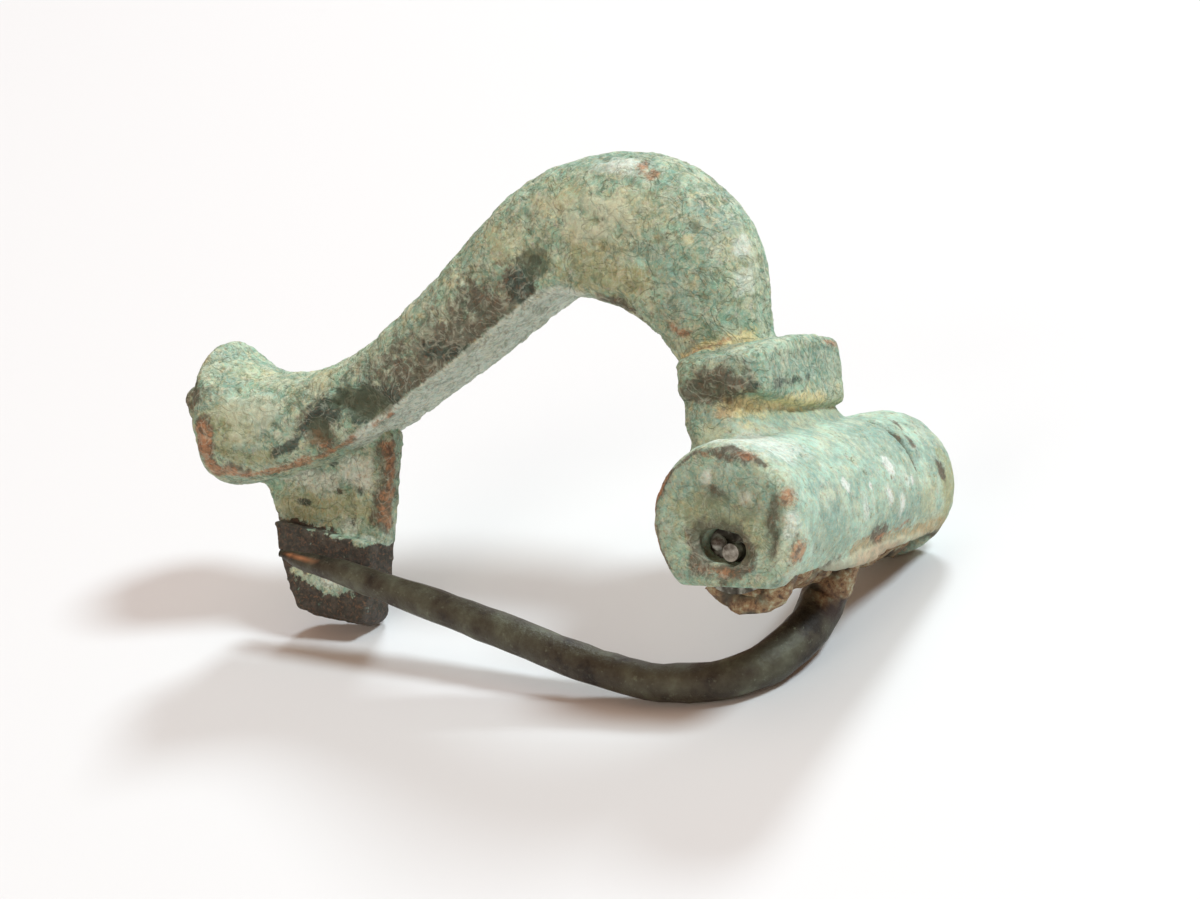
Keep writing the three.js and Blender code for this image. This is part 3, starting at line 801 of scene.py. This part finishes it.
    fine = add_node(
        tree,
        "ShaderNodeTexNoise",
        inputs={"Vector": place, "Scale": 1 / (0.22 * MM), "Detail": 6, "Roughness": 0.7},
    ).outputs["Fac"]
    creased = add_node(
        tree, "ShaderNodeMath", {"operation": "MULTIPLY_ADD"}, {0: crease, 1: -0.35, 2: fine}
    ).outputs["Value"]
    matt = add_node(
        tree, "ShaderNodeMapRange", inputs={"Value": fine, "To Min": 0.62, "To Max": 0.92}
    ).outputs["Result"]
    end_material(tree, {"Base Color": colour, "Roughness": matt}, (creased, 0.85, 0.12))
    return material


# The block that closes the channel of the catch, under the skin.
FILLER_CENTRE = (-25.4, -1.05, -8.5)
FILLER_SIZES = (4.2, 0.8, 4.0)


class BROOCH_OT_casting(bpy.types.Operator):
    """Gives the casting its crusted, pitted skin"""

    bl_idname = "brooch.casting"
    bl_label = "Casting"

    def execute(self, context):
        settings = context.scene.brooch
        shape = bmesh.new()
        shape.from_mesh(frame["nodes"]["brooch_body"].data)
        bmesh.ops.remove_doubles(shape, verts=shape.verts, dist=0.001 * MM)
        bmesh.ops.create_cube(shape, size=1.0, matrix=set_square(FILLER_CENTRE, FILLER_SIZES))
        draft = bpy.data.objects.new("casting_draft", mesh_from(shape, "casting_draft"))
        cells = draft.modifiers.new("cells", "REMESH")
        cells.mode = "VOXEL"
        cells.voxel_size = settings.skin_voxel
        soften = draft.modifiers.new("soften", "SMOOTH")
        soften.factor = 0.5
        soften.iterations = 6
        skin = applied(draft, "brooch_casting")

        points = own_points(skin)
        normals = vertex_rows(skin, "normal") @ np.array(TURN)
        ragged = noise_field(points, size=0.9, offset=4.4, octaves=3)
        height = settings.relief * casting_relief(points, ragged)
        raise_surface(skin, height)
        store_layers(skin, zone_weights(points, normals, ragged) | patina_layers(points, height))
        skin.shade_smooth()
        skin.update()
        bronze = patinated_bronze(settings.mint)
        new_piece("brooch_casting", skin, bronze, "brooch", "brooch_body")
        return {"FINISHED"}


# --- pin ----------------------------------------------------------------------------------------

# The needle's centre line from the front of the coil to the tip, with the wire's radius there.
NEEDLE = [
    ((1.95, 0.35, -1.3), 0.66),
    ((1.55, 0.3, -3.0), 0.85),
    ((1.15, 0.0, -4.5), 1.08),
    ((1.1, -2.0, -5.85), 1.08),
    ((-0.1, -4.25, -7.3), 1.0),
    ((-3.2, -5.25, -8.38), 0.93),
    ((-7.4, -5.1, -8.6), 0.9),
    ((-12.3, -4.6, -8.25), 0.9),
    ((-18.4, -3.9, -7.85), 0.84),
    ((-23.6, -3.4, -7.6), 0.66),
    ((-26.4, -3.2, -7.5), 0.42),
    ((-27.5, -3.1, -7.45), 0.2),
]

# The turns round the bar: from the far end to the needle, and from beside it to the near end.
COIL_RADIUS = 1.6
COIL_PITCH = 1.43
FAR_TURNS = (6.9, 0.5)
NEAR_TURNS = (-1.1, -6.45)
NEAR_TURNS_ANGLE = 2.0
POINTS_PER_TURN = 10

# The end turn is set lower than the others and is a little tighter.
END_TURN_BAND = (-4.6, -5.6)
END_TURN_CENTRE = (0.3, -2.1)
END_TURN_TIGHTER = 0.14

# A rubbed line near the tip, and a dark stain on the bend.
RUBBED_LINE = [(-27.5, -3.35, -7.2), (-24.6, -4.05, -7.3)]
RUBBED_HALF_WIDTH = 0.13
STAIN_CENTRE = (1.9, -0.6, -4.2)
STAIN_HALF_SIZES = (0.8, 1.0, 1.0)

# Lumps of earth and corrosion on the end turn: centre, half sizes.
CRUST_LUMPS = (
    ((0.3, -6.1, -2.95), (1.25, 0.75, 0.85)),
    ((1.0, -5.0, -3.0), (0.9, 0.8, 0.75)),
)
CRUST_SAND = 0.85

# Heights of the wire's features, and how far its surface is set in, in millimetres.
WAVES_MM = 0.05
DENTS_MM = 0.13
SAND_MM = 0.12
SET_IN_MM = 0.1


def turn_angle(along):
    """How far the wire turns over a length of the bar."""
    return along / COIL_PITCH * 2 * math.pi


def coil_points(start, end, first_angle, wire_radius):
    """Points of the wound wire from y = start to y = end, with the near end turn set lower."""
    points = []
    steps = int(abs(end - start) / COIL_PITCH * POINTS_PER_TURN)
    for step in range(steps + 1):
        y = start + (end - start) * step / steps
        angle = first_angle + turn_angle(y - start)
        sunk = float(smooth_step(*END_TURN_BAND, y))
        x = BAR_CENTRE.x + (END_TURN_CENTRE[0] - BAR_CENTRE.x) * sunk
        z = BAR_CENTRE.z + (END_TURN_CENTRE[1] - BAR_CENTRE.z) * sunk
        radius = COIL_RADIUS - END_TURN_TIGHTER * sunk
        place = (x + radius * math.cos(angle), y, z + radius * math.sin(angle))
        points.append((place, wire_radius))
    return points


def wire_mesh(name, strands):
    """A mesh of round wire along each strand of (point, radius) pairs, smoothly curved."""
    curve = bpy.data.curves.new(name, "CURVE")
    curve.dimensions = "3D"
    curve.bevel_depth = MM
    curve.bevel_resolution = 5
    curve.resolution_u = 6
    curve.use_fill_caps = True
    for strand in strands:
        spline = curve.splines.new("BEZIER")
        spline.bezier_points.add(len(strand) - 1)
        for knot, (place, radius) in zip(spline.bezier_points, strand):
            knot.co = to_world(place)
            knot.radius = radius
            knot.handle_left_type = "AUTO"
            knot.handle_right_type = "AUTO"
    return applied(bpy.data.objects.new("wire_draft", curve), name)


def wire_sand(points, ragged):
    """Share of sandy crust: patchy, on the turns in the head and on the top of the end turn."""
    _, y, z = points.T
    end_turn = smooth_step(-4.3, -4.9, y + 0.3 * ragged) * smooth_step(-5.0, -4.4, z)
    in_head = smooth_step(-4.5, -3.6, z + 0.5 * ragged)
    patchy = smooth_step(-0.35, 0.25, noise_field(points, size=1.1, offset=3.7, octaves=3) + 0.1)
    return np.maximum(end_turn, in_head) * patchy


def wire_relief(points, ragged, sand):
    """Height of the hammered, crusted wire over its round form, in millimetres."""
    dents = pit_field(points, size=1.3, offset=2.6)
    waves = noise_field(points, size=1.3, offset=6.0, octaves=2)
    return WAVES_MM * waves + DENTS_MM * dents - SET_IN_MM + SAND_MM * sand * (1 + ragged)


def coil_crust_mesh():
    """The lumps on the end turn, with an uneven surface."""
    shape = bmesh.new()
    for centre, half_sizes in CRUST_LUMPS:
        lump = set_square(centre, half_sizes)
        bmesh.ops.create_icosphere(shape, subdivisions=5, radius=1.0, matrix=lump)
    mesh = mesh_from(shape, "coil_crust")
    raise_surface(mesh, 0.1 * noise_field(own_points(mesh), size=0.7, offset=1.9, octaves=3) - 0.02)
    store_layers(mesh, {"sand": np.full(len(mesh.vertices), CRUST_SAND)})
    mesh.shade_smooth()
    return mesh


def drawn_bronze():
    """Hammered bronze wire with a thin dark green-grey patina: smoother than the casting, with a
    low gloss, lighter dust in its dents and a bare copper line near the tip."""
    material, tree = new_material("drawn_bronze_wire")
    place = add_node(tree, "ShaderNodeTexCoord").outputs["Object"]
    clouds, grain = (
        add_node(
            tree,
            "ShaderNodeTexNoise",
            inputs={
                "Vector": place,
                "Scale": 1 / (size_mm * MM),
                "Detail": 5,
                "Roughness": roughness,
            },
        ).outputs["Fac"]
        for size_mm, roughness in ((1.6, 0.6), (0.3, 0.65))
    )
    patina = add_node(
        tree,
        "ShaderNodeValToRGB",
        {"stops": [(0.34, "#211C15"), (0.44, "#3E392D"), (0.58, "#505041"), (0.72, "#676B59")]},
        {"Fac": clouds},
    )
    sand = add_node(
        tree,
        "ShaderNodeValToRGB",
        {"stops": [(0.34, "#4A3B2E"), (0.45, "#8A6A4A"), (0.55, "#A08C68"), (0.66, "#B4B89C")]},
        {"Fac": grain},
    )
    dust = add_node(
        tree, "ShaderNodeMapRange", inputs={"Value": grain, "From Min": 0.6, "From Max": 0.82}
    )
    colour = coat(tree, patina.outputs["Color"], srgb("#7E8672"), dust.outputs["Result"])
    overs = (("worn", srgb("#B07A54")), ("dark", srgb("#33261F")), ("sand", sand.outputs["Color"]))
    for layer, over in overs:
        share = add_node(tree, "ShaderNodeAttribute", {"attribute_name": layer})
        colour = coat(tree, colour, over, share.outputs["Fac"])
    surface = {"Base Color": colour, "Roughness": 0.5, "Metallic": 0.25}
    end_material(tree, surface, (grain, 0.9, 0.08))
    return material


class BROOCH_OT_pin(bpy.types.Operator):
    """Winds the spring, draws out its needle and crusts its end turn"""

    bl_idname = "brooch.pin"
    bl_label = "Pin and spring"

    def execute(self, context):
        wire_radius = context.scene.brooch.wire_radius / MM
        needle_start = NEEDLE[0][0][1]
        far_half = coil_points(*FAR_TURNS, turn_angle(FAR_TURNS[0] - needle_start), wire_radius)
        near_half = coil_points(*NEAR_TURNS, NEAR_TURNS_ANGLE, wire_radius)
        mesh = wire_mesh("pin_wire", [far_half + NEEDLE, near_half])

        points = own_points(mesh)
        ragged = noise_field(points, size=0.5, offset=8.8, octaves=2)
        sand = wire_sand(points, ragged)
        rubbed = seam_field(points, RUBBED_LINE) / RUBBED_HALF_WIDTH + ragged
        stain = patch_field(points, STAIN_CENTRE, STAIN_HALF_SIZES) + 0.5 * ragged
        raise_surface(mesh, wire_relief(points, ragged, sand))
        store_layers(
            mesh,
            {
                "worn": smooth_step(1.4, 0.5, rubbed),
                "dark": smooth_step(1.3, 0.6, stain),
                "sand": sand,
            },
        )
        mesh.shade_smooth()
        bronze = drawn_bronze()
        new_piece("pin_wire", mesh, bronze, "pin", "pin")
        new_piece("coil_crust", coil_crust_mesh(), bronze, "pin")
        return {"FINISHED"}


# --- bar and hole -------------------------------------------------------------------------------

# The disc of earth in the hole of the near end face, and the bead that stands on it.
EARTH_CENTRE = (0, -7.32, -1.1)
EARTH_RADIUS = 2.1
EARTH_DEPTH = 0.18
BEAD_CENTRE = (-0.42, -7.95, -0.95)
BEAD_RADIUS = 0.34


def clouded(name, size_mm, octaves, stops, depth_mm, surface):
    """A material whose colour and low bumps follow one cloudy noise."""
    material, tree = new_material(name)
    place = add_node(tree, "ShaderNodeTexCoord").outputs["Object"]
    cloud = add_node(
        tree,
        "ShaderNodeTexNoise",
        inputs={"Vector": place, "Scale": 1 / (size_mm * MM), "Detail": octaves},
    ).outputs["Fac"]
    tone = add_node(tree, "ShaderNodeValToRGB", {"stops": stops}, {"Fac": cloud})
    surface = {"Base Color": tone.outputs["Color"], **surface}
    end_material(tree, surface, (cloud, 0.6, depth_mm))
    return material


def corroded_bar_bronze():
    """Bronze rod end with a grey-white corrosion bloom over brown metal."""
    stops = [(0.34, "#4A433C"), (0.46, "#7F7F78"), (0.6, "#BFC3BE")]
    surface = {"Roughness": 0.6, "Metallic": 0.2}
    return clouded("corroded_bar_bronze", 0.45, 4, stops, 0.05, surface)


def packed_earth():
    """Fine dark soil packed in a cavity, dry and matt, with grey corrosion where it stands proud."""
    stops = [(0.35, "#2E2A25"), (0.5, "#5E5C55"), (0.62, "#A6A9A2")]
    return clouded("packed_earth", 0.5, 5, stops, 0.06, {"Roughness": 0.8})


class BROOCH_OT_bar(bpy.types.Operator):
    """Finishes the bar that the spring is wound round, and the hole that its end shows in"""

    bl_idname = "brooch.bar"
    bl_label = "Bar and hole"

    def execute(self, context):
        bronze = corroded_bar_bronze()
        bar = frame["nodes"]["axis_bar"].data
        bar.materials.clear()
        bar.materials.append(bronze)

        earth = bmesh.new()
        along_bar = TURN.to_4x4() @ Matrix.Rotation(math.pi / 2, 4, "X")
        bmesh.ops.create_cone(
            earth,
            cap_ends=True,
            segments=48,
            radius1=EARTH_RADIUS * MM,
            radius2=EARTH_RADIUS * MM,
            depth=EARTH_DEPTH * MM,
            matrix=Matrix.Translation(to_world(EARTH_CENTRE)) @ along_bar,
        )
        new_piece("hole_earth", mesh_from(earth, "hole_earth"), packed_earth(), "brooch")

        bead = bmesh.new()
        middle = Matrix.Translation(to_world(BEAD_CENTRE))
        bmesh.ops.create_icosphere(bead, subdivisions=4, radius=BEAD_RADIUS * MM, matrix=middle)
        mesh = mesh_from(bead, "hole_bead")
        mesh.shade_smooth()
        new_piece("hole_bead", mesh, bronze, "brooch")
        return {"FINISHED"}


# --- studio -------------------------------------------------------------------------------------

# The viewpoint in the brooch's own frame: place in millimetres, then right, up and forward.
VIEW_PLACE = (54.46, -114.167, 24.221)
VIEW_RIGHT = (0.85263, 0.512985, 0.099329)
VIEW_UP = (-0.175841, 0.102692, 0.979048)
VIEW_FORWARD = (-0.492037, 0.852233, -0.177762)
LENS_MM = 84.0
SENSOR_MM = 36.0

# Half the width of the floor, in metres.
FLOOR_HALF_WIDTH = 1.5

# Round lights that face the middle of the bow: name, place from there and diameter in metres,
# power in watts, colour.
BOW_MIDDLE = (-12, 0, 0)
LIGHTS = (
    ("key", (0.58, 0.12, 0.72), 0.22, 6.9, "#E6F7FF"),
    ("top", (-0.06, 0.10, 0.90), 0.70, 0.8, "#FFFAF2"),
    ("back", (-0.13, 0.75, 0.65), 0.22, 6.1, "#E9F7FF"),
    ("front", (-0.10, -0.80, 0.36), 0.60, 1.75, "#FFFDF2"),
)
ROOM_COLOUR = "#FFC6A4"
ROOM_STRENGTH = 0.34


def matt_card(colour):
    """Smooth uncoated card: an even, matt, nearly white ground with no gloss."""
    material, tree = new_material("matt_card")
    end_material(tree, {"Base Color": (*colour, 1.0), "Roughness": 0.9})
    return material


def add_light(name, offset, diameter, power, colour):
    """A round light at an offset from the middle of the bow, turned to face it."""
    light = bpy.data.lights.new(name, "AREA")
    light.shape = "DISK"
    light.size = diameter
    light.energy = power
    light.color = srgb(colour)[:3]
    middle = to_world(BOW_MIDDLE)
    lamp = bpy.data.objects.new(name, light)
    lamp.location = middle + Vector(offset)
    lamp.rotation_euler = (lamp.location - middle).to_track_quat("Z", "Y").to_euler()
    bpy.context.scene.collection.objects.link(lamp)


def add_camera(scene):
    """The scene's camera, at the viewpoint."""
    camera = bpy.data.cameras.new("view")
    camera.sensor_width = SENSOR_MM
    camera.lens = LENS_MM
    camera.clip_start = 0.01
    camera.clip_end = 10.0
    viewer = bpy.data.objects.new("view", camera)
    right, up, forward = (TURN @ Vector(v) for v in (VIEW_RIGHT, VIEW_UP, VIEW_FORWARD))
    viewer.matrix_world = Matrix((right, up, -forward)).transposed().to_4x4()
    viewer.location = to_world(VIEW_PLACE)
    scene.collection.objects.link(viewer)
    scene.camera = viewer


class BROOCH_OT_studio(bpy.types.Operator):
    """Sets the floor, the lights and the camera"""

    bl_idname = "brooch.studio"
    bl_label = "Studio"

    def execute(self, context):
        scene = context.scene
        card = bmesh.new()
        bmesh.ops.create_grid(card, x_segments=1, y_segments=1, size=FLOOR_HALF_WIDTH)
        mesh = mesh_from(card, "floor")
        mesh.materials.append(matt_card(scene.brooch.floor))
        floor = bpy.data.objects.new("floor", mesh)
        scene.collection.objects.link(floor)

        world = bpy.data.worlds.new("studio")
        world.use_nodes = True
        room = world.node_tree.nodes["Background"]
        room.inputs["Color"].default_value = srgb(ROOM_COLOUR)
        room.inputs["Strength"].default_value = ROOM_STRENGTH
        scene.world = world
        scene.view_settings.view_transform = "Standard"
        for light in LIGHTS:
            add_light(*light)
        add_camera(scene)
        return {"FINISHED"}


class BROOCH_PT_panel(bpy.types.Panel):
    """Lists the brooch's settings and pieces in the sidebar"""

    bl_label = "Knee brooch"
    bl_idname = "BROOCH_PT_panel"
    bl_space_type = "VIEW_3D"
    bl_region_type = "UI"
    bl_category = "Brooch"

    def draw(self, context):
        for name in BroochSettings.__annotations__:
            self.layout.prop(context.scene.brooch, name)
        for operator in OPERATORS:
            self.layout.operator(operator.bl_idname)


OPERATORS = (BROOCH_OT_studio, BROOCH_OT_casting, BROOCH_OT_pin, BROOCH_OT_bar)
CLASSES = (BroochSettings, *OPERATORS, BROOCH_PT_panel)


def register():
    for item in CLASSES:
        bpy.utils.register_class(item)
    bpy.types.Scene.brooch = bpy.props.PointerProperty(type=BroochSettings)


def unregister():
    del bpy.types.Scene.brooch
    for item in reversed(CLASSES):
        bpy.utils.unregister_class(item)


def main():
    register()
    bpy.ops.brooch.studio()
    bpy.ops.brooch.casting()
    bpy.ops.brooch.pin()
    bpy.ops.brooch.bar()


if __name__ == "__main__":
    main()
